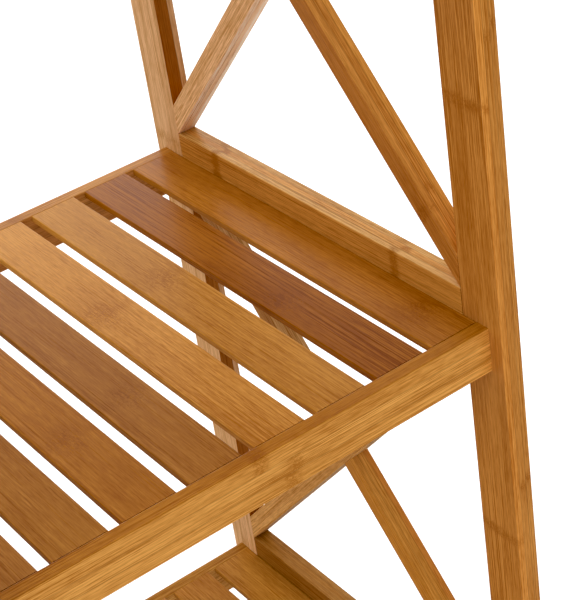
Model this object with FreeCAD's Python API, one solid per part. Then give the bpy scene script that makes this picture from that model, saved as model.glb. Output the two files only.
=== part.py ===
import FreeCAD, Part
import math
import os

# Four-tier ladder shelf in bamboo. A plumb rear frame carries crossed braces, two front legs lean back
# against it, and four slatted trays sit between the two, each one shallower than the tray below it.
# Frame: origin on the floor under the middle of the overall box, +X to the right, -Y to the front, +Z up.

Vector = FreeCAD.Vector

# ---- Driving dimensions, millimetres ----
inner_width = 273.0          # clear width between the two rear posts
post_width = 30.0            # face width of the posts and legs
post_thickness = 13.5        # thickness of posts, legs, back rails, front rungs and braces
rail_height = 28.0           # height of every rail and rung
slats_per_tray = (10, 8, 6, 4)
tray_pitch = 344.0           # height from one tray to the next
lowest_tray_top = 110.0      # top of the lowest tray above the floor
slat_width = 31.5
slat_thickness = 4.5
slat_gap = 7.8
back_slat_width = 32.0       # the slat against the back rail
back_slat_gap = 5.8          # between that slat and the next one
back_rail_lift = 16.5        # how far a back rail stands above its slats
post_above_top_rail = 12.0
end_rail_thickness = 9.5
end_rail_inset = 9.5         # from a post's outer face to the end rail's outer face
brace_end_height = 21.0      # height of a brace's plumb-cut end
foot_pad_size = (24.0, 9.0, 2.0)
bar_edge_radius = 0.8
slat_edge_radius = 0.8

# ---- Joints ----
tenon_width = 18.0
tenon_thickness = 2.5
tenon_length = 5.0
tenon_depth_below_top = 1.5
joint_clearance = 0.05       # glue line on every side of a tenon, dowel or screw
hole_end_clearance = 0.5
dowel_radius = 2.5
dowel_length = 24.0
crossing_dowel_length = 34.0
dowel_spacing = 14.0         # between the two dowels of one rail end
screw_length = 45.0
screw_shank_radius = 2.0
screw_head_radius = 4.0
screw_socket_radius = 1.45
screw_socket_depth = 1.8
rear_screw_drops = (12.0, 22.0)     # below the tray top, where a screw enters the end rail
front_screw_drops = (5.0, 15.0)

# ---- Values that follow from the dimensions above ----
half_width = inner_width / 2
tray_count = len(slats_per_tray)
slat_pitch = slat_width + slat_gap
end_rail_outer = half_width + post_width - end_rail_inset
end_rail_inner = end_rail_outer - end_rail_thickness
end_rail_middle = (end_rail_outer + end_rail_inner) / 2
tray_tops = [lowest_tray_top + tray * tray_pitch for tray in range(tray_count)]
tray_depths = [back_slat_width + back_slat_gap + (count - 1) * slat_pitch for count in slats_per_tray]
leg_slope = (tray_depths[0] - tray_depths[1]) / tray_pitch
leg_lean = math.atan(leg_slope)
leg_run = post_thickness / math.cos(leg_lean)
post_top = tray_tops[-1] + back_rail_lift + post_above_top_rail
foot_height = foot_pad_size[2]
foot_reach = tray_depths[0] + (lowest_tray_top - foot_height) * leg_slope + leg_run
frame_front = (foot_reach + post_thickness) / 2 - post_thickness    # y of the rear frame's front face
frame_middle = frame_front + post_thickness / 2

X_AXIS = Vector(1, 0, 0)
Y_AXIS = Vector(0, 1, 0)
Z_AXIS = Vector(0, 0, 1)
LEG_AXIS = Vector(0, math.sin(leg_lean), math.cos(leg_lean))
LEG_FRONT = Vector(0, -math.cos(leg_lean), math.sin(leg_lean))


def leg_back_y(height):
    """Y of the legs' rear face at a height."""
    return frame_front - tray_depths[0] + (height - lowest_tray_top) * leg_slope


def box(x_low, x_high, y_low, y_high, z_low, z_high):
    size = (x_high - x_low, y_high - y_low, z_high - z_low)
    return Part.makeBox(*size, Vector(x_low, y_low, z_low))


def prism(points, sweep):
    """Solid swept from a flat outline along a vector."""
    outline = Part.makePolygon(points + [points[0]])
    return Part.Face(outline).extrude(sweep)


def ease(bar, direction, radius):
    """Round the long edges of a bar, which are those that run in its direction."""
    long_edges = []
    for edge in bar.Edges:
        run = edge.Vertexes[1].Point - edge.Vertexes[0].Point
        if abs(run.normalize().dot(direction)) > 0.9999:
            long_edges.append(edge)
    return bar.makeFillet(radius, long_edges)


def drill(piece, holes):
    """Take every hole that reaches the piece out of it."""
    for hole in holes:
        if piece.BoundBox.intersect(hole.BoundBox):
            piece = piece.cut(hole)
    return piece


def side_sign(side):
    return -1 if side == "left" else 1


def mirrored_span(side, near, far):
    """X range between two distances from the centre plane, on one side of it."""
    sign = side_sign(side)
    return sorted((sign * near, sign * far))


# ---- Rear frame ----

def rear_post(side):
    x_low, x_high = mirrored_span(side, half_width, half_width + post_width)
    post = box(x_low, x_high, frame_front, frame_front + post_thickness, foot_height, post_top)
    return ease(post, Z_AXIS, bar_edge_radius)


def back_rail(tray):
    top = tray_tops[tray] + back_rail_lift
    rail = box(-half_width, half_width, frame_front, frame_front + post_thickness, top - rail_height, top)
    return ease(rail, X_AXIS, bar_edge_radius)


def brace_slab(left_low, right_low):
    """Square-edged brace between the posts, from the height of its lower edge at each end."""
    outline = [
        Vector(-half_width, frame_front, left_low),
        Vector(half_width, frame_front, right_low),
        Vector(half_width, frame_front, right_low + brace_end_height),
        Vector(-half_width, frame_front, left_low + brace_end_height),
    ]
    return prism(outline, Vector(0, post_thickness, 0))


def panel_span(panel):
    """Heights of a brace's lower edge at the bottom and at the top of a panel between two back rails."""
    bottom = tray_tops[panel] + back_rail_lift
    top = tray_tops[panel + 1] + back_rail_lift - rail_height - brace_end_height
    return bottom, top


def brace_direction(left_low, right_low):
    return Vector(inner_width, 0, right_low - left_low).normalize()


def panel_braces(panel):
    """One whole brace that rises to the right, and two half braces that butt against its sides."""
    bottom, top = panel_span(panel)
    rising = brace_slab(bottom, top)
    falling = ease(brace_slab(top, bottom), brace_direction(top, bottom), bar_edge_radius)
    halves = sorted(falling.cut(rising).Solids, key=lambda solid: -solid.CenterOfMass.z)
    whole = ease(rising, brace_direction(bottom, top), bar_edge_radius)
    return whole, halves[0], halves[1]


# ---- Front frame ----

def leaning_bar(x_low, x_high, z_low, z_high):
    """Bar between the leaning front and rear planes of the legs, cut level at both heights."""
    outline = [
        Vector(x_low, leg_back_y(z_low), z_low),
        Vector(x_low, leg_back_y(z_high), z_high),
        Vector(x_low, leg_back_y(z_high) - leg_run, z_high),
        Vector(x_low, leg_back_y(z_low) - leg_run, z_low),
    ]
    return prism(outline, Vector(x_high - x_low, 0, 0))


def front_leg(side):
    x_low, x_high = mirrored_span(side, half_width, half_width + post_width)
    leg = leaning_bar(x_low, x_high, foot_height, tray_tops[-1])
    return ease(leg, LEG_AXIS, bar_edge_radius)


def front_rung(tray):
    rung = leaning_bar(-half_width, half_width, tray_tops[tray] - rail_height, tray_tops[tray])
    return ease(rung, X_AXIS, bar_edge_radius)


# ---- Trays ----

def slat_span(number):
    """Y range of a slat, counted from 0 at the back rail."""
    if number == 0:
        return frame_front - back_slat_width, frame_front
    back = frame_front - back_slat_width - back_slat_gap - (number - 1) * slat_pitch
    return back - slat_width, back


def tenon(x_low, x_high, y_middle, top, clearance):
    """Flat tongue at a slat's end, or with a clearance the mortise that takes it."""
    half_tongue = tenon_width / 2 + clearance
    tongue_top = top - tenon_depth_below_top + clearance
    tongue_bottom = top - tenon_depth_below_top - tenon_thickness - clearance
    return box(x_low, x_high, y_middle - half_tongue, y_middle + half_tongue, tongue_bottom, tongue_top)


def slat(tray, number):
    top = tray_tops[tray]
    y_low, y_high = slat_span(number)
    body = box(-end_rail_inner, end_rail_inner, y_low, y_high, top - slat_thickness, top)
    body = ease(body, X_AXIS, slat_edge_radius)
    tongue_end = end_rail_inner + tenon_length
    return body.fuse(tenon(-tongue_end, tongue_end, (y_low + y_high) / 2, top, 0)).removeSplitter()


def end_rail(tray, side):
    top = tray_tops[tray]
    bottom = top - rail_height
    x_low, x_high = mirrored_span(side, end_rail_inner, end_rail_outer)
    outline = [
        Vector(x_low, frame_front, top),
        Vector(x_low, frame_front, bottom),
        Vector(x_low, leg_back_y(bottom), bottom),
        Vector(x_low, leg_back_y(top), top),
    ]
    rail = ease(prism(outline, Vector(x_high - x_low, 0, 0)), Y_AXIS, bar_edge_radius)
    mortise_end = end_rail_inner + tenon_length + hole_end_clearance
    for number in range(slats_per_tray[tray]):
        y_low, y_high = slat_span(number)
        mortise = tenon(-mortise_end, mortise_end, (y_low + y_high) / 2, top, joint_clearance)
        rail = rail.cut(mortise)
    return rail


# ---- Dowels and screws ----

def rod(middle, direction, radius, length):
    """Cylinder centred on a point."""
    return Part.makeCylinder(radius, length, middle - direction * (length / 2), direction)


def dowel_places():
    """Middle, direction and length of every dowel."""
    places = []
    for side in ("left", "right"):
        x = side_sign(side) * half_width
        for top in tray_tops:
            for shift in (-dowel_spacing / 2, dowel_spacing / 2):
                rail_z = top + back_rail_lift - rail_height / 2 + shift
                places.append((Vector(x, frame_middle, rail_z), X_AXIS, dowel_length))
                rung_z = top - rail_height / 2 + shift
                rung_y = leg_back_y(rung_z) - leg_run / 2
                places.append((Vector(x, rung_y, rung_z), X_AXIS, dowel_length))
    for panel in range(tray_count - 1):
        places.extend(brace_dowel_places(panel))
    return places


def brace_dowel_places(panel):
    """A dowel along the brace at each of its four ends, and one through the crossing."""
    bottom, top = panel_span(panel)
    half_end = brace_end_height / 2
    rising = brace_direction(bottom, top)
    falling = brace_direction(top, bottom)
    crossing = Vector(0, frame_middle, (bottom + top) / 2 + half_end)
    return [
        (Vector(-half_width, frame_middle, bottom + half_end), rising, dowel_length),
        (Vector(half_width, frame_middle, top + half_end), rising, dowel_length),
        (Vector(-half_width, frame_middle, top + half_end), falling, dowel_length),
        (Vector(half_width, frame_middle, bottom + half_end), falling, dowel_length),
        (crossing, falling, crossing_dowel_length),
    ]


def screw_places():
    """Centre of the head's flush face and the driving direction of every screw."""
    places = []
    for side in ("left", "right"):
        x = side_sign(side) * end_rail_middle
        for top in tray_tops:
            for drop in rear_screw_drops:
                places.append((Vector(x, frame_front + post_thickness, top - drop), -Y_AXIS))
            for drop in front_screw_drops:
                seat = Vector(x, leg_back_y(top - drop), top - drop)
                places.append((seat + LEG_FRONT * post_thickness, -LEG_FRONT))
    return places


def screw_blank(head, direction, clearance, reach):
    """Flush countersunk head and plain shank, or with a clearance the hole that takes them."""
    head_radius = screw_head_radius + clearance
    shank_radius = screw_shank_radius + clearance
    cone = Part.makeCone(head_radius, shank_radius, head_radius - shank_radius, head, direction)
    shank = Part.makeCylinder(shank_radius, reach, head, direction)
    return cone.fuse(shank).removeSplitter()


def screw(head, direction):
    """Screw with a hexagon socket in its head."""
    corners = []
    across = X_AXIS
    upward = direction.cross(X_AXIS)
    for corner in range(6):
        angle = math.radians(60 * corner)
        corners.append(head + (across * math.cos(angle) + upward * math.sin(angle)) * screw_socket_radius)
    socket = prism(corners, direction * screw_socket_depth)
    return screw_blank(head, direction, 0, screw_length).cut(socket)


def foot_pads():
    """Four thin pads under the posts and the legs."""
    length, depth, height = foot_pad_size
    pads = []
    for side in ("left", "right"):
        x = side_sign(side) * (half_width + post_width / 2)
        for y in (frame_middle, leg_back_y(foot_height) - leg_run / 2):
            pads.append(box(x - length / 2, x + length / 2, y - depth / 2, y + depth / 2, 0, height))
    return Part.makeCompound(pads)


# ---- All pieces by name ----

def wooden_pieces():
    pieces = {}
    for side in ("left", "right"):
        pieces["rear_post_" + side] = rear_post(side)
        pieces["front_leg_" + side] = front_leg(side)
    for tray in range(tray_count):
        label = "tier%d" % (tray + 1)
        pieces["back_rail_" + label] = back_rail(tray)
        pieces["front_rung_" + label] = front_rung(tray)
        for side in ("left", "right"):
            pieces["end_rail_%s_%s" % (side, label)] = end_rail(tray, side)
        for number in range(slats_per_tray[tray]):
            pieces["slat_%s_%02d" % (label, number + 1)] = slat(tray, number)
    for panel in range(tray_count - 1):
        whole, upper_half, lower_half = panel_braces(panel)
        label = "panel%d" % (panel + 1)
        pieces["brace_whole_" + label] = whole
        pieces["brace_upper_half_" + label] = upper_half
        pieces["brace_lower_half_" + label] = lower_half
    return pieces


def all_pieces():
    dowels = dowel_places()
    screws = screw_places()
    holes = []
    for middle, direction, length in dowels:
        bore_length = length + 2 * hole_end_clearance
        holes.append(rod(middle, direction, dowel_radius + joint_clearance, bore_length))
    for head, direction in screws:
        holes.append(screw_blank(head, direction, joint_clearance, screw_length + hole_end_clearance))
    pieces = {name: drill(piece, holes) for name, piece in wooden_pieces().items()}
    pieces["dowels"] = Part.makeCompound([rod(m, d, dowel_radius, length) for m, d, length in dowels])
    pieces["frame_screws"] = Part.makeCompound([screw(head, direction) for head, direction in screws])
    pieces["foot_pads"] = foot_pads()
    return pieces


os.makedirs("parts", exist_ok=True)
for name, piece in all_pieces().items():
    piece.exportStep(os.path.join("parts", name + ".step"))
    print(name, len(piece.Solids), "solid(s)", round(piece.Volume / 1000, 2), "cm3", piece.isValid())
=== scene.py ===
import math
import random

import bpy
from mathutils import Matrix, Vector


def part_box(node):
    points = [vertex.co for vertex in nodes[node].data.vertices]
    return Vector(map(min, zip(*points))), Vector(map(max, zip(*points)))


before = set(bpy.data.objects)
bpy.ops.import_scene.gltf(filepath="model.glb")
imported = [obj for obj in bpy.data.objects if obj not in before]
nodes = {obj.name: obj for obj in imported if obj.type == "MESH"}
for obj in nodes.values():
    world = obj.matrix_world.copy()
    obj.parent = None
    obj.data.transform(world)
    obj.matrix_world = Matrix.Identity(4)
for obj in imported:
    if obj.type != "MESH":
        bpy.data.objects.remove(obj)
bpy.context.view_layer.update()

# Looks for the ladder shelf. Every bar is laminated bamboo under a clear satin lacquer, so one shader group
# holds the wood, and each piece gives it its own grain direction, laminations, knots and tone.

MM = 0.001
X_AXIS = Vector((1, 0, 0))
Y_AXIS = Vector((0, 1, 0))
Z_AXIS = Vector((0, 0, 1))


# ---- Small helper for node trees ----

class Tree:
    """Short calls for the nodes that a material or a group is built from."""

    def __init__(self, node_tree):
        self.nodes = node_tree.nodes
        self.links = node_tree.links

    def feed(self, socket, value):
        if isinstance(value, bpy.types.NodeSocket):
            self.links.new(value, socket)
        else:
            socket.default_value = value

    def make(self, kind, values=(), **settings):
        node = self.nodes.new("ShaderNode" + kind)
        for setting, value in settings.items():
            setattr(node, setting, value)
        for place, value in enumerate(values):
            self.feed(node.inputs[place], value)
        return node

    def math(self, operation, a, b=0.0, c=0.0, clamp=False):
        return self.make("Math", (a, b, c), operation=operation, use_clamp=clamp).outputs[0]

    def scaled(self, vector, scale):
        return self.make("VectorMath", (vector, scale), operation="MULTIPLY").outputs[0]

    def dot(self, a, b):
        return self.make("VectorMath", (a, b), operation="DOT_PRODUCT").outputs["Value"]

    def ramp(self, value, low, high, out_low=0.0, out_high=1.0, smooth=True):
        kind = "SMOOTHSTEP" if smooth else "LINEAR"
        node = self.make("MapRange", (value, low, high, out_low, out_high), interpolation_type=kind)
        return node.outputs[0]

    def swing(self, value, low, high, amount, smooth=False):
        """From minus an amount to plus that amount."""
        return self.ramp(value, low, high, -amount, amount, smooth)

    def noise(self, vector, scale, seed, detail=2.0, roughness=0.5, distortion=0.0):
        """4D noise stretched by a scale per axis, with features of about one unit."""
        node = self.make("TexNoise", noise_dimensions="4D", normalize=True)
        self.feed(node.inputs["Vector"], self.scaled(vector, scale))
        self.feed(node.inputs["W"], seed)
        self.feed(node.inputs["Scale"], 1.0)
        self.feed(node.inputs["Detail"], detail)
        self.feed(node.inputs["Roughness"], roughness)
        self.feed(node.inputs["Distortion"], distortion)
        return node.outputs[0]

    def mix(self, factor, a, b, blend="MIX"):
        node = self.make("Mix", data_type="RGBA", blend_type=blend)
        # The colour sockets come after those for numbers and vectors.
        self.feed(node.inputs[0], factor)
        self.feed(node.inputs[6], a)
        self.feed(node.inputs[7], b)
        return node.outputs[2]


# ---- The bamboo group ----

GROUP_INPUTS = {
    "NodeSocketVector": ("Vector", "Grain Axis", "Width Axis"),
    "NodeSocketFloat": (
        "Seed", "Half Width", "Half Thickness", "Strip Width", "Layer Thickness",
        "Knot Place", "Knot Spacing", "Knot Length", "Knot Scatter", "Knot Side", "Knot Width", "Knot Tone",
        "Strip Contrast", "Fibre Contrast", "Line Density", "Tone And Shade Slope",
        "Odd Layer", "Odd Share", "Other Share",
    ),
    "NodeSocketColor": ("Dark", "Light", "Amber", "Side Tint"),
}
GROUP_OUTPUTS = {
    "NodeSocketColor": ("Color",),
    "NodeSocketFloat": ("Roughness", "Height"),
}

# Features per metre of each pattern: along the grain, across the face, through the thickness.
FIBRE_SCALE = (14.0, 1600.0, 1600.0)
FINE_SCALE = (130.0, 2000.0, 2000.0)
STREAK_SCALE = (5.0, 240.0, 240.0)
CLOUD_SCALE = (11.0, 45.0, 45.0)
VESSEL_SCALE = (45.0, 1250.0, 1250.0)
CLEARNESS_SCALE = (6.0, 60.0, 60.0)
KNOT_OUTLINE_SCALE = (120.0, 420.0, 420.0)
KNOT_CURL_SCALE = (420.0, 700.0, 700.0)
END_PORE_SCALE = (900.0, 900.0, 900.0)

# Part of its noise's range that each pattern uses.
FIBRE_RANGE = (0.34, 0.66)
FINE_RANGE = (0.25, 0.75)
STREAK_RANGE = (0.30, 0.70)
CLOUD_RANGE = (0.30, 0.70)
VESSEL_RANGE = (0.58, 0.68)
CLEARNESS_RANGE = (0.35, 0.65)
KNOT_CURL_RANGE = (0.36, 0.62)
END_PORE_RANGE = (0.50, 0.62)
LACQUER_RANGE = (0.30, 0.70)
AMBER_RANGE = (0.55, 0.90)

# The wood's tone runs from 0, dark, to 1, light. Each pattern moves it up and down, or one way only.
BASE_TONE = 0.54
FIBRE_SWING = 0.50
FINE_SWING = 0.34
STREAK_SWING = 0.05
CLOUD_SWING = 0.17
VESSEL_TONE = -0.30
KNOT_SHADOW_TONE = -0.12
KNOT_CURL_TONE = -0.36
# Lighter rounded edges: worn lacquer together with a painted highlight.
EDGE_WEAR_AND_HIGHLIGHT_TONE = 0.08
CLEARNESS = (0.35, 1.25)                    # how clearly lines show, where they show least and most
KNOT_BLUR = -0.85                           # share of the lines that a knot hides

# Knots
KNOT_FADE = (0.30, 1.20)                    # where a knot is full and gone, as a share of its size
KNOT_RAGGEDNESS = 1.3
KNOT_CURL_BALANCE = 0.35                    # part of the curl that is lighter than the wood
SHADOW_BEFORE_KNOT = (-45 * MM, 0.0)
SHADOW_END = (-2 * MM, 6 * MM)

# Colour of glue lines and end grain, relative to the wood, and how much a strip may turn amber.
GLUE_LINE_SHADE = -0.22
END_GRAIN_LEVEL = 0.80
END_PORE_SHADE = -0.30
AMBER_SHARE = 0.6

# Shape of the bars: distances from the joint or the edge, and facings as a cosine.
EDGE_RADIUS = 0.8 * MM
EDGE_WEAR_AND_HIGHLIGHT_SPAN = (0.05, 0.45)
OUTER_CELL_MARGIN = 0.2 * MM
GLUE_LINE_REACH = (0.1 * MM, 0.4 * MM)
GLUE_LINE_RIM = (0.6 * MM, 1.2 * MM)
SIDE_FACING = (0.45, 0.85)
END_FACING = (0.55, 0.75)

# Lacquer: roughness, and what knots, worn edges and end grain add to it.
LACQUER_ROUGHNESS = (0.26, 0.36)
KNOT_CURL_ROUGHNESS = 0.08
WORN_EDGE_ROUGHNESS = -0.05
END_GRAIN_ROUGHNESS = 0.20

# Height of the grain for the bump, relative to the fibres.
FINE_HEIGHT = 0.35
KNOT_CURL_HEIGHT = -0.4
GLUE_LINE_HEIGHT = -0.8

CELL_SEED_STEP = 37.0


def lamination(tree, place, half, pitch):
    """Cell number across a bar, and how strongly a point lies on a glue line between two cells."""
    inner = tree.math("SUBTRACT", half, OUTER_CELL_MARGIN)
    outer = tree.math("MULTIPLY", inner, -1.0)
    clamped = tree.math("MINIMUM", tree.math("MAXIMUM", place, outer), inner)
    cells = tree.math("DIVIDE", tree.math("ADD", clamped, half), pitch)
    number = tree.math("FLOOR", cells)
    part = tree.math("FRACT", cells)
    off_centre = tree.math("ABSOLUTE", tree.math("SUBTRACT", part, 0.5))
    to_line = tree.math("MULTIPLY", tree.math("SUBTRACT", 0.5, off_centre), pitch)
    line = tree.ramp(to_line, *GLUE_LINE_REACH, 1.0, 0.0)
    rim = tree.math("SUBTRACT", half, tree.math("ABSOLUTE", place))
    inside = tree.ramp(rim, *GLUE_LINE_RIM)
    return number, tree.math("MULTIPLY", line, inside)


def edge_share(tree, place, half):
    """0 on a flat face, rising to 1 where the rounded edge reaches the face beyond."""
    from_rim = tree.math("SUBTRACT", half, tree.math("ABSOLUTE", place))
    return tree.ramp(from_rim, 0.0, EDGE_RADIUS, 1.0, 0.0, smooth=False)


def edge_wear_and_highlight(tree, given, across, deep):
    """1 along the rounded edges, where the lacquer is rubbed thin and a painted highlight lightens the wood.
    """
    across_share = edge_share(tree, across, given["Half Width"])
    deep_share = edge_share(tree, deep, given["Half Thickness"])
    return tree.ramp(tree.math("MULTIPLY", across_share, deep_share), *EDGE_WEAR_AND_HIGHLIGHT_SPAN)


def narrow_side(tree, given, facing, layer):
    """Share of the side tint: none on a face, and on a narrow side as much as the lamination takes."""
    sideways_on = tree.math("ABSOLUTE", tree.dot(facing, given["Width Axis"]))
    side = tree.ramp(sideways_on, *SIDE_FACING)
    odd = tree.math("COMPARE", layer, given["Odd Layer"], 0.5)
    share = tree.ramp(odd, 0.0, 1.0, given["Other Share"], given["Odd Share"], smooth=False)
    return tree.math("MULTIPLY", side, share)


def knot_patterns(tree, given, along, across, cell_seed, shift_draw):
    """Where a culm's joint was: a ragged patch, the fibres that curl in it, and a shadow before it."""
    vector, spacing = given["Vector"], given["Knot Spacing"]
    shift = tree.math("MULTIPLY", tree.math("SUBTRACT", shift_draw, 0.5), given["Knot Scatter"])
    turns = tree.math("DIVIDE", tree.math("SUBTRACT", along, given["Knot Place"]), spacing)
    turns = tree.math("ADD", turns, shift)
    phase = tree.math("SUBTRACT", tree.math("FRACT", tree.math("ADD", turns, 0.5)), 0.5)
    from_knot = tree.math("MULTIPLY", phase, spacing)

    ragged = tree.math("SUBTRACT", tree.noise(vector, KNOT_OUTLINE_SCALE, cell_seed, 2.0, 0.6), 0.5)
    lengthwise = tree.math("DIVIDE", from_knot, given["Knot Length"])
    lengthwise = tree.math("MULTIPLY_ADD", ragged, KNOT_RAGGEDNESS, lengthwise)
    sideways = tree.math("DIVIDE", tree.math("SUBTRACT", across, given["Knot Side"]), given["Knot Width"])
    squares = tree.math("ADD", tree.math("POWER", lengthwise, 2.0), tree.math("POWER", sideways, 2.0))
    knot = tree.ramp(tree.math("SQRT", squares), *KNOT_FADE, 1.0, 0.0)

    curl = tree.ramp(tree.noise(vector, KNOT_CURL_SCALE, cell_seed, 1.0, 0.5, 1.6), *KNOT_CURL_RANGE)
    swirl = tree.math("MULTIPLY", tree.math("SUBTRACT", curl, KNOT_CURL_BALANCE), knot)
    shadow_end = tree.ramp(from_knot, *SHADOW_END, 1.0, 0.0)
    shadow = tree.math("MULTIPLY", tree.ramp(from_knot, *SHADOW_BEFORE_KNOT), shadow_end)
    return knot, swirl, shadow


def wood_tone(tree, given, along, fibre, fine, cell_seed, knots):
    """Tone of the wood from its patterns and its steady change along the piece, which on the slats is painted
    shade, before the strip's own tone and the edges' wear and painted highlight.
    """
    vector = given["Vector"]
    knot, swirl, shadow = knots
    streak = tree.noise(vector, STREAK_SCALE, cell_seed, 2.0, 0.55)
    cloud = tree.noise(vector, CLOUD_SCALE, given["Seed"], 3.0, 0.6)
    vessels = tree.noise(vector, VESSEL_SCALE, cell_seed, 1.0, 0.5)
    # Lines show clearly in some places, and fade in others and in knots.
    clear = tree.noise(vector, CLEARNESS_SCALE, cell_seed, 1.0, 0.5)
    clear = tree.ramp(clear, *CLEARNESS_RANGE, *CLEARNESS)
    clear = tree.math("MULTIPLY", clear, tree.math("MULTIPLY_ADD", knot, KNOT_BLUR, 1.0))
    clear = tree.math("MULTIPLY", clear, given["Fibre Contrast"])

    tone = tree.math("MULTIPLY", tree.swing(fibre, *FIBRE_RANGE, FIBRE_SWING, smooth=True), clear)
    tone = tree.math("ADD", tone, tree.swing(fine, *FINE_RANGE, FINE_SWING))
    tone = tree.math("ADD", tone, tree.swing(streak, *STREAK_RANGE, STREAK_SWING))
    tone = tree.math("ADD", tone, tree.swing(cloud, *CLOUD_RANGE, CLOUD_SWING))
    # A steady change of tone along the piece; on the slats it is a painted shade, darker towards their near
    # ends.
    tone = tree.math("MULTIPLY_ADD", along, given["Tone And Shade Slope"], tone)
    specks = tree.math("MULTIPLY", tree.ramp(vessels, *VESSEL_RANGE), clear)
    tone = tree.math("MULTIPLY_ADD", specks, VESSEL_TONE, tone)
    tone = tree.math("MULTIPLY_ADD", shadow, KNOT_SHADOW_TONE, tone)
    tone = tree.math("MULTIPLY_ADD", knot, given["Knot Tone"], tone)
    tone = tree.math("MULTIPLY_ADD", swirl, KNOT_CURL_TONE, tone)
    return tree.math("ADD", tone, BASE_TONE)


def bamboo_group():
    group = bpy.data.node_groups.new("laminated_bamboo", "ShaderNodeTree")
    for direction, sockets in (("INPUT", GROUP_INPUTS), ("OUTPUT", GROUP_OUTPUTS)):
        for kind, names in sockets.items():
            for name in names:
                group.interface.new_socket(name=name, in_out=direction, socket_type=kind)
    tree = Tree(group)
    given = group.nodes.new("NodeGroupInput").outputs
    result = group.nodes.new("NodeGroupOutput").inputs
    vector = given["Vector"]

    split = tree.make("SeparateXYZ", (vector,)).outputs
    along, across, deep = split[0], split[1], split[2]
    strip, strip_line = lamination(tree, across, given["Half Width"], given["Strip Width"])
    layer, layer_line = lamination(tree, deep, given["Half Thickness"], given["Layer Thickness"])
    glue_line = tree.math("MAXIMUM", strip_line, layer_line)

    # Each strip of each layer draws its own tone, seed, knot shift and amber.
    cell = tree.make("CombineXYZ", (strip, layer, given["Seed"])).outputs[0]
    chance = tree.make("TexWhiteNoise", (cell,), noise_dimensions="3D")
    cell_tone = chance.outputs["Value"]
    cell_draws = tree.make("SeparateColor", (chance.outputs["Color"],)).outputs
    shift_draw, amber_draw = cell_draws[1], cell_draws[2]
    cell_seed = tree.math("MULTIPLY_ADD", cell_tone, CELL_SEED_STEP, given["Seed"])

    density = tree.make("CombineXYZ", (1.0, given["Line Density"], given["Line Density"])).outputs[0]
    fibre = tree.noise(tree.scaled(vector, density), FIBRE_SCALE, cell_seed, 1.0, 0.5)
    fine = tree.noise(vector, FINE_SCALE, cell_seed, 1.0, 0.6)
    knots = knot_patterns(tree, given, along, across, cell_seed, shift_draw)
    swirl = knots[1]
    facing = tree.make("NewGeometry").outputs["Normal"]
    side = narrow_side(tree, given, facing, layer)
    wear_and_highlight = edge_wear_and_highlight(tree, given, across, deep)
    end_grain = tree.ramp(tree.math("ABSOLUTE", tree.dot(facing, given["Grain Axis"])), *END_FACING)

    tone = wood_tone(tree, given, along, fibre, fine, cell_seed, knots)
    off_average = tree.math("SUBTRACT", cell_tone, 0.5)
    tone = tree.math("MULTIPLY_ADD", off_average, given["Strip Contrast"], tone)
    # Rounded edges lightened: worn lacquer together with a painted highlight.
    tone = tree.math("MULTIPLY_ADD", wear_and_highlight, EDGE_WEAR_AND_HIGHLIGHT_TONE, tone, clamp=True)

    colour = tree.mix(tone, given["Dark"], given["Light"])
    amber = tree.ramp(amber_draw, *AMBER_RANGE)
    amber = tree.math("MULTIPLY", amber, given["Strip Contrast"], clamp=True)
    colour = tree.mix(tree.math("MULTIPLY", amber, AMBER_SHARE), colour, given["Amber"])
    # Narrow sides take the side tint, which on some pieces holds painted light, shade and sheen.
    colour = tree.mix(side, colour, tree.mix(1.0, colour, given["Side Tint"], "MULTIPLY"))
    pores = tree.ramp(tree.noise(vector, END_PORE_SCALE, given["Seed"], 1.0, 0.5), *END_PORE_RANGE)
    end_shade = tree.math("MULTIPLY_ADD", pores, END_PORE_SHADE, END_GRAIN_LEVEL)
    shade = tree.math("MULTIPLY_ADD", glue_line, GLUE_LINE_SHADE, 1.0)
    shade = tree.math("MULTIPLY", shade, tree.ramp(end_grain, 0.0, 1.0, 1.0, end_shade, smooth=False))
    grey = tree.make("CombineColor", (shade, shade, shade)).outputs[0]
    colour = tree.mix(1.0, colour, grey, "MULTIPLY")

    roughness = tree.ramp(fibre, *LACQUER_RANGE, *LACQUER_ROUGHNESS, smooth=False)
    roughness = tree.math("MULTIPLY_ADD", swirl, KNOT_CURL_ROUGHNESS, roughness)
    roughness = tree.math("MULTIPLY_ADD", wear_and_highlight, WORN_EDGE_ROUGHNESS, roughness)
    roughness = tree.math("MULTIPLY_ADD", end_grain, END_GRAIN_ROUGHNESS, roughness)
    height = tree.math("MULTIPLY_ADD", fine, FINE_HEIGHT, fibre)
    height = tree.math("MULTIPLY_ADD", swirl, KNOT_CURL_HEIGHT, height)
    height = tree.math("MULTIPLY_ADD", glue_line, GLUE_LINE_HEIGHT, height)

    tree.feed(result["Color"], colour)
    tree.feed(result["Roughness"], roughness)
    tree.feed(result["Height"], height)
    return group


# ---- How each piece is cut from the laminated stock ----

def end_points(node, x):
    """Vertices of a piece on its end plane."""
    return [v.co for v in nodes[node].data.vertices if abs(v.co.x - x) < 0.01 * MM]


def middle_of(points):
    return sum((Vector(p) for p in points), Vector()) / len(points)


def brace_axes(node):
    """Grain direction and half width of a brace, from the plumb-cut ends of its panel's whole one."""
    panel = node.rsplit("_", 1)[1]
    whole = "brace_whole_" + panel
    low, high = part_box(whole)
    left, right = end_points(whole, low.x), end_points(whole, high.x)
    rising = (middle_of(right) - middle_of(left)).normalized()
    cut = max(p.z for p in left) - min(p.z for p in left)
    if "half" in node:
        rising = Vector((rising.x, 0, -rising.z))
    return rising, cut * abs(rising.x) / 2


def leg_axis():
    """Direction of the leaning legs, from how far the trays step back."""
    lower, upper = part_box("end_rail_left_tier1")[0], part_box("end_rail_left_tier2")[0]
    return Vector((0, upper.y - lower.y, upper.z - lower.z)).normalized()


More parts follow.
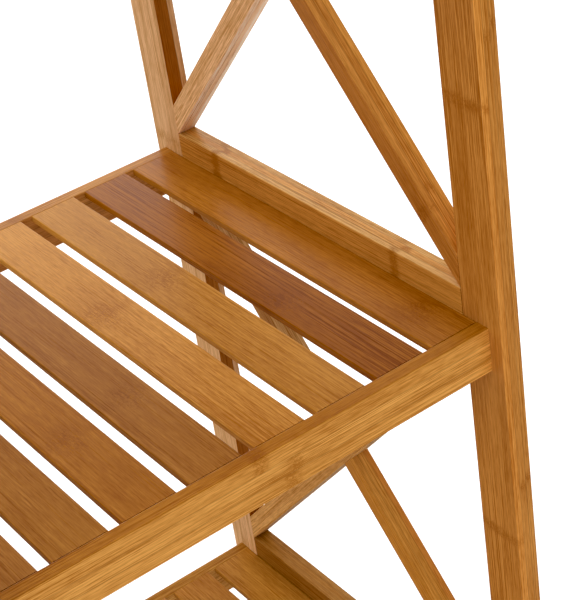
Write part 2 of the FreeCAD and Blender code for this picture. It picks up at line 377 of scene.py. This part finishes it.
def cut_of(node):
    """Grain and width directions of a piece, its centre, and its half width and half thickness."""
    low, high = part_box(node)
    half = (high - low) / 2
    centre = (low + high) / 2
    post_low, post_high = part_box("rear_post_left")
    bar_half = (post_high.y - post_low.y) / 2
    if node.startswith("slat"):
        return X_AXIS, Y_AXIS, centre, half.y, half.z
    if node.startswith("end_rail"):
        return Y_AXIS, Z_AXIS, centre, half.z, half.x
    if node.startswith("rear_post"):
        return Z_AXIS, X_AXIS, centre, half.x, bar_half
    if node.startswith("front_leg"):
        return leg_axis(), X_AXIS, centre, half.x, bar_half
    if node.startswith("front_rung"):
        return X_AXIS, leg_axis(), centre, half.z, bar_half
    if node.startswith("brace"):
        grain, half_width = brace_axes(node)
        return grain, grain.cross(Y_AXIS), centre, half_width, bar_half
    return X_AXIS, Z_AXIS, centre, half.z, bar_half


# Stock of each kind of piece, under the names of the group's inputs. A node takes the first row that its name
# starts with, here and in SIDES.
WHOLE = 40 * MM         # wider and thicker than any bar, so it is all one lamination
BAR = {
    "Strip Width": WHOLE, "Layer Thickness": 4.5 * MM, "Strip Contrast": 0.25,
    "Knot Spacing": 0.30, "Knot Length": 5 * MM, "Knot Width": 30 * MM,
    "Knot Scatter": 0.5, "Knot Tone": -0.14,
    "Fibre Contrast": 0.68, "Line Density": 1.15,
}
SLAT = {
    "Strip Width": WHOLE, "Layer Thickness": WHOLE, "Strip Contrast": 0.0,
    "Knot Spacing": 0.45, "Knot Length": 17 * MM, "Knot Width": 13 * MM,
    "Knot Scatter": 0.0, "Knot Tone": -0.06,
    "Fibre Contrast": 0.36, "Line Density": 1.0,
}
STOCK = {
    "slat_tier2_02": {**SLAT, "Fibre Contrast": 0.90},
    "slat": SLAT,
    "end_rail": {
        "Strip Width": 9.34 * MM, "Layer Thickness": WHOLE, "Strip Contrast": 0.15,
        "Knot Spacing": 0.27, "Knot Length": 6 * MM, "Knot Width": 1.0,
        "Knot Scatter": 0.30, "Knot Tone": -0.20,
        "Fibre Contrast": 0.75, "Line Density": 1.15,
    },
    "rear_post": {**BAR, "Knot Spacing": 0.278, "Knot Scatter": 0.3},
    "front_leg": BAR,
    "front_rung": {**BAR, "Knot Length": 6 * MM},
    "back_rail": {**BAR, "Knot Spacing": 0.176, "Knot Scatter": 0.1, "Knot Tone": -0.40},
    "brace": {**BAR, "Knot Spacing": 0.34, "Knot Width": 20 * MM, "Knot Tone": -0.10, "Fibre Contrast": 0.64},
}

# Common colour of the wood, and its darkest, lightest and amber shades relative to that.
BAMBOO = (0.535, 0.244, 0.052)
DARK = (0.68, 0.53, 0.32)
LIGHT = (1.30, 1.40, 1.80)
AMBER = (1.05, 0.85, 0.45)

# Pieces whose colour differs clearly from the rest: red, green and blue relative to the common colour, change
# of tone per metre along the piece, and where its knot lies: along the piece, and to its side. On the slats
# the change along the piece is a painted shade, darker towards their near ends, and marked rows also hold
# painted shade and painted sheen in their tint.
LOOKS = {
    "slat_tier2_01": ((0.76, 0.62, 0.28), -0.3, (0.118, 2 * MM)),
    "slat_tier2_02": ((0.56, 0.39, 0.11), -1.4, (0.053, -6 * MM)),
    "slat_tier2_03": ((0.88, 0.83, 0.53), -1.2, (-0.018, 1 * MM)),
    "slat_tier2_04": ((1.00, 0.96, 0.70), -1.5, (-0.013, -6 * MM)),
    "slat_tier2_05": ((0.62, 0.52, 0.32), -0.3, (0.064, 2 * MM)),
    "slat_tier2_06": ((0.69, 0.56, 0.25), -1.0, (0.072, -2 * MM)),
    "slat_tier2_07": ((0.64, 0.54, 0.30), 0.0, (-0.080, 3 * MM)),
    "slat_tier2_08": ((0.62, 0.52, 0.35), 0.0, (-0.050, 0.0)),
    # Darker: painted shade under the tray above.
    "slat_tier1_01": ((0.80, 0.74, 0.45), 0.0, (0.06, 0.0)),
    "slat_tier1_02": ((0.78, 0.70, 0.45), 0.0, (-0.09, 0.0)),
    "end_rail_left_tier1": ((1.10, 1.15, 1.00), 0.0, (0.019, 0.0)),
    "end_rail_right_tier2": ((1.44, 1.40, 1.15), 0.0, (0.019, 0.0)),
    # Darker: painted shade under the tray above.
    "back_rail_tier1": ((0.58, 0.52, 0.36), 0.0, (0.02, 0.0)),
    "back_rail_tier2": ((1.03, 0.95, 0.70), 1.1, (-0.093, 0.0)),
    "rear_post_right": ((1.01, 0.90, 0.72), -0.4, (0.006, 0.0)),
    # Paler and bluer: a painted sheen of a bright backdrop, put into the colour.
    "rear_post_left": ((1.40, 1.82, 3.60), 0.0, (0.12, 0.0)),
    "brace_whole_panel1": ((1.30, 1.50, 1.80), 0.0, (0.05, 0.0)),
    # Paler and bluer: a painted sheen of a bright backdrop, put into the colour.
    "brace_whole_panel2": ((1.66, 2.20, 4.30), 0.0, (0.05, 0.0)),
    "brace_lower_half_panel1": ((1.10, 1.05, 0.75), 0.0, (0.10, 0.0)),
    "brace_lower_half_panel2": ((0.90, 0.75, 0.58), 0.0, (0.12, 0.0)),
}

# Colour of a piece's narrow sides relative to its faces, the lamination that differs there, and how much of
# that colour this lamination and the others take. In marked rows the colour holds painted light, shade and
# sheen.
NO_LAYER = 5            # more laminations than any bar has
SIDES = {
    "end_rail_right_tier2": ((0.53, 0.46, 0.23), NO_LAYER, 1.0, 1.0),
    "end_rail_left_tier2": ((0.98, 1.00, 0.75), NO_LAYER, 1.0, 1.0),
    "end_rail": ((0.70, 0.64, 0.45), NO_LAYER, 1.0, 1.0),
    # Inner side darkened: painted shade, and darker wood in its front laminations than in its back one.
    "rear_post_left": ((0.42, 0.22, 0.04), 2, 0.4, 1.0),
    # Outer side lightened: painted light from the right, and a front lamination paler than the others.
    "rear_post_right": ((1.48, 1.46, 1.40), 0, 1.0, 0.35),
    "brace_lower_half_panel1": ((0.96, 0.84, 0.80), 0, 1.0, 0.0),
    # Tops of these braces lighter: painted light from above and the right.
    "brace_lower_half": ((1.42, 1.60, 1.50), 0, 1.0, 0.6),
    # Tops of braces paler and bluer: a painted sheen, with one lamination taking less of it.
    "brace": ((1.25, 1.50, 2.20), 1, 0.4, 1.0),
    # Tops of back rails paler and bluer: a painted sheen, with one lamination taking less of it.
    "back_rail_tier2": ((1.00, 1.25, 2.00), 1, 0.4, 1.0),
    "back_rail": ((1.10, 1.20, 1.50), 1, 0.4, 1.0),
}
SAME_AS_FACES = ((1.0, 1.0, 1.0), NO_LAYER, 1.0, 1.0)

# What the other pieces draw by chance: tone, green and blue relative to red, and where their knots lie.
RANDOM_SEED = 11
TONE_SPREAD = (0.84, 1.08)
WARMTH_SPREAD = (0.92, 1.04)
KNOT_PLACE_SPREAD = (-0.12, 0.12)
KNOT_SIDE_SPREAD = (-4 * MM, 4 * MM)
PIECE_SEED_STEP = 3.17

SPECULAR_LEVEL = 0.09
COAT_WEIGHT = 0.05
COAT_ROUGHNESS = 0.25
GRAIN_BUMP = (0.25, 0.1 * MM)       # strength, distance


def first_match(node, table, otherwise=None):
    """Value of the first name in a table that the node's name starts with."""
    return next((value for name, value in table.items() if node.startswith(name)), otherwise)


def tinted(colour, factors):
    return tuple(c * f for c, f in zip(colour, factors)) + (1.0,)


def add_bump(tree, shader, height, strength, distance):
    bump = tree.make("Bump")
    bump.inputs["Strength"].default_value = strength
    bump.inputs["Distance"].default_value = distance
    tree.feed(bump.inputs["Height"], height)
    tree.feed(shader.inputs["Normal"], bump.outputs["Normal"])


def bamboo(node, group, seed, chance):
    """Material of one wooden piece."""
    grain, width, centre, half_width, half_thickness = cut_of(node)
    material = bpy.data.materials.new("bamboo_" + node)
    material.use_nodes = True
    tree = Tree(material.node_tree)
    shader = material.node_tree.nodes["Principled BSDF"]

    turn = Matrix((grain, width, grain.cross(width)))
    mapping = tree.make("Mapping", vector_type="POINT")
    tree.feed(mapping.inputs["Vector"], tree.make("TexCoord").outputs["Object"])
    mapping.inputs["Rotation"].default_value = turn.to_euler("XYZ")
    mapping.inputs["Location"].default_value = -(turn @ centre)

    tone, warmth = chance.uniform(*TONE_SPREAD), chance.uniform(*WARMTH_SPREAD)
    knot_place = chance.uniform(*KNOT_PLACE_SPREAD)
    knot_side = chance.uniform(*KNOT_SIDE_SPREAD) if "slat" in node else 0.0
    common = ((tone, tone * warmth, tone * warmth), 0.0, (knot_place, knot_side))
    tint, tone_and_shade_slope, (knot_place, knot_side) = LOOKS.get(node, common)
    colour = [c * t for c, t in zip(BAMBOO, tint)]
    side_tint, odd_layer, odd_share, other_share = first_match(node, SIDES, SAME_AS_FACES)
    values = {
        **first_match(node, STOCK),
        "Vector": mapping.outputs[0], "Grain Axis": tuple(grain), "Width Axis": tuple(width),
        "Seed": seed * PIECE_SEED_STEP, "Half Width": half_width, "Half Thickness": half_thickness,
        "Knot Place": knot_place, "Knot Side": knot_side, "Tone And Shade Slope": tone_and_shade_slope,
        "Side Tint": side_tint + (1.0,), "Odd Layer": odd_layer,
        "Odd Share": odd_share, "Other Share": other_share,
        "Dark": tinted(colour, DARK), "Light": tinted(colour, LIGHT), "Amber": tinted(colour, AMBER),
    }
    wood = tree.make("Group", node_tree=group)
    for name, value in values.items():
        tree.feed(wood.inputs[name], value)
    tree.feed(shader.inputs["Base Color"], wood.outputs["Color"])
    tree.feed(shader.inputs["Roughness"], wood.outputs["Roughness"])
    add_bump(tree, shader, wood.outputs["Height"], *GRAIN_BUMP)
    shader.inputs["Specular IOR Level"].default_value = SPECULAR_LEVEL
    shader.inputs["Coat Weight"].default_value = COAT_WEIGHT
    shader.inputs["Coat Roughness"].default_value = COAT_ROUGHNESS
    return material


# Fittings: name and colour of the finish, metallic, roughness, mottles per metre, bump distance.
FITTINGS = {
    "dowels": ("beech_dowel", (0.62, 0.44, 0.26), 0.0, 0.65, 900.0, 0.1 * MM),
    "frame_screws": ("zinc_plate", (0.62, 0.60, 0.54), 0.45, 0.34, 700.0, 0.05 * MM),
    "foot_pads": ("black_rubber", (0.025, 0.023, 0.022), 0.0, 0.75, 1400.0, 0.1 * MM),
}
MOTTLE_SEED = 2.0
MOTTLE_RANGE = (0.3, 0.7)
MOTTLE_SHADES = (0.8, 1.2)
MOTTLE_ROUGHNESS_SWING = 0.08
MOTTLE_BUMP_STRENGTH = 0.3


def fitting(name, colour, metallic, roughness, scale, bump_distance):
    """Mottled finish for a small fitting."""
    material = bpy.data.materials.new(name)
    material.use_nodes = True
    tree = Tree(material.node_tree)
    shader = material.node_tree.nodes["Principled BSDF"]
    place = tree.make("TexCoord").outputs["Object"]
    mottle = tree.noise(place, (scale, scale, scale), MOTTLE_SEED, 3.0, 0.6)
    dark, light = (tinted(colour, (level,) * 3) for level in MOTTLE_SHADES)
    rough, smooth = roughness + MOTTLE_ROUGHNESS_SWING, roughness - MOTTLE_ROUGHNESS_SWING
    tree.feed(shader.inputs["Base Color"], tree.mix(mottle, dark, light))
    tree.feed(shader.inputs["Roughness"], tree.ramp(mottle, *MOTTLE_RANGE, smooth, rough))
    add_bump(tree, shader, mottle, MOTTLE_BUMP_STRENGTH, bump_distance)
    shader.inputs["Metallic"].default_value = metallic
    return material


def dress(node, material):
    slots = nodes[node].data.materials
    slots.clear()
    slots.append(material)


def dress_all():
    group = bamboo_group()
    chance = random.Random(RANDOM_SEED)
    for seed, node in enumerate(sorted(nodes), start=1):
        if first_match(node, STOCK):
            dress(node, bamboo(node, group, seed, chance))
    for node, finish in FITTINGS.items():
        dress(node, fitting(*finish))


# ---- Floor, light and camera ----

FLOOR_HALF_SIZE = 16.0
FLOOR_ROUGHNESS = 0.9
FLOOR_SPECULAR = 0.1
FLOOR_GLOW = 0.35

ROOM_LIGHT = 0.22
SOFT_BOXES = [
    # direction, where its light starts and is full as a cosine, strength
    ((0.0, 0.0, 1.0), 0.15, 0.75, 0.95),
    ((-0.80, 0.60, 0.0), 0.10, 0.80, 0.80),
    ((-0.35, -0.94, 0.0), 0.30, 0.90, 0.62),
    ((0.50, -0.15, -0.85), 0.30, 0.95, 1.10),
]
# The lacquer mirrors a dim room with a bright wall low behind the object: the wall's direction, where its
# light starts and is full as a cosine, and the strengths of the room and the wall.
SHEEN_FROM = (-0.88, 0.42, 0.22)
SHEEN_LIGHT = (0.925, 0.99, 0.12, 3.6)
BLACK_POINT = 0.006


def floor():
    size = FLOOR_HALF_SIZE
    mesh = bpy.data.meshes.new("floor")
    corners = [(-size, -size, 0), (size, -size, 0), (size, size, 0), (-size, size, 0)]
    mesh.from_pydata(corners, [], [(0, 1, 2, 3)])
    plane = bpy.data.objects.new("floor", mesh)
    bpy.context.scene.collection.objects.link(plane)
    material = bpy.data.materials.new("floor_white")
    material.use_nodes = True
    shader = material.node_tree.nodes["Principled BSDF"]
    shader.inputs["Base Color"].default_value = (0.9, 0.9, 0.9, 1)
    shader.inputs["Roughness"].default_value = FLOOR_ROUGHNESS
    shader.inputs["Specular IOR Level"].default_value = FLOOR_SPECULAR
    shader.inputs["Emission Color"].default_value = (1, 1, 1, 1)
    shader.inputs["Emission Strength"].default_value = FLOOR_GLOW
    mesh.materials.append(material)
    # Its glow would wash out the undersides and lower edges, which the surround lights instead.
    plane.visible_diffuse = False
    plane.visible_glossy = False


def studio():
    """Surround of a white product set: bright overhead and behind the object, dim on the camera's side."""
    world = bpy.data.worlds.new("studio")
    world.use_nodes = True
    tree = Tree(world.node_tree)
    background = world.node_tree.nodes["Background"]
    direction = tree.make("TexCoord").outputs["Generated"]
    light = ROOM_LIGHT
    for toward, low, high, strength in SOFT_BOXES:
        box_light = tree.ramp(tree.dot(direction, toward), low, high, 0.0, strength)
        light = tree.math("ADD", box_light, light)
    path = tree.make("LightPath").outputs
    sheen = tree.ramp(tree.dot(direction, SHEEN_FROM), *SHEEN_LIGHT)
    light = tree.math("MULTIPLY_ADD", path["Is Glossy Ray"], tree.math("SUBTRACT", sheen, light), light)
    tree.feed(background.inputs["Strength"], tree.math("MAXIMUM", light, path["Is Camera Ray"]))
    background.inputs["Color"].default_value = (1, 1, 1, 1)
    bpy.context.scene.world = world
    settings = bpy.context.scene.view_settings
    settings.view_transform = "Standard"
    settings.look = "None"
    settings.use_curve_mapping = True
    settings.curve_mapping.black_level = (BLACK_POINT,) * 3
    settings.curve_mapping.update()


# Camera: angles in degrees, distance in metres, lens and sensor in millimetres.
VIEW_AZIMUTH = 58.74
VIEW_ELEVATION = 31.42
VIEW_ROLL = 9.43
VIEW_DISTANCE = 1.0157
VIEW_LENS = 105.04
VIEW_SENSOR = 36.0
VIEW_SHIFT = (0.0342, -0.0633)
VIEW_CLIP = (0.05, 60.0)
VIEW_POINT = (0.0095, 0.1661)      # on top of the second tray


def camera():
    target = Vector((*VIEW_POINT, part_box("slat_tier2_01")[1].z))
    azimuth, elevation = math.radians(VIEW_AZIMUTH), math.radians(VIEW_ELEVATION)
    back = Vector((
        math.sin(azimuth) * math.cos(elevation),
        -math.cos(azimuth) * math.cos(elevation),
        math.sin(elevation),
    ))
    level_right = Z_AXIS.cross(back).normalized()
    level_up = back.cross(level_right)
    roll = math.radians(VIEW_ROLL)
    up = level_up * math.cos(roll) + level_right * math.sin(roll)
    right = up.cross(back)
    lens = bpy.data.cameras.new("camera")
    lens.lens = VIEW_LENS
    lens.sensor_width = VIEW_SENSOR
    lens.shift_x, lens.shift_y = VIEW_SHIFT
    lens.clip_start, lens.clip_end = VIEW_CLIP
    holder = bpy.data.objects.new("camera", lens)
    turn = Matrix((right, up, back)).transposed().to_4x4()
    holder.matrix_world = Matrix.Translation(target + back * VIEW_DISTANCE) @ turn
    bpy.context.scene.collection.objects.link(holder)
    bpy.context.scene.camera = holder


dress_all()
floor()
camera()
studio()
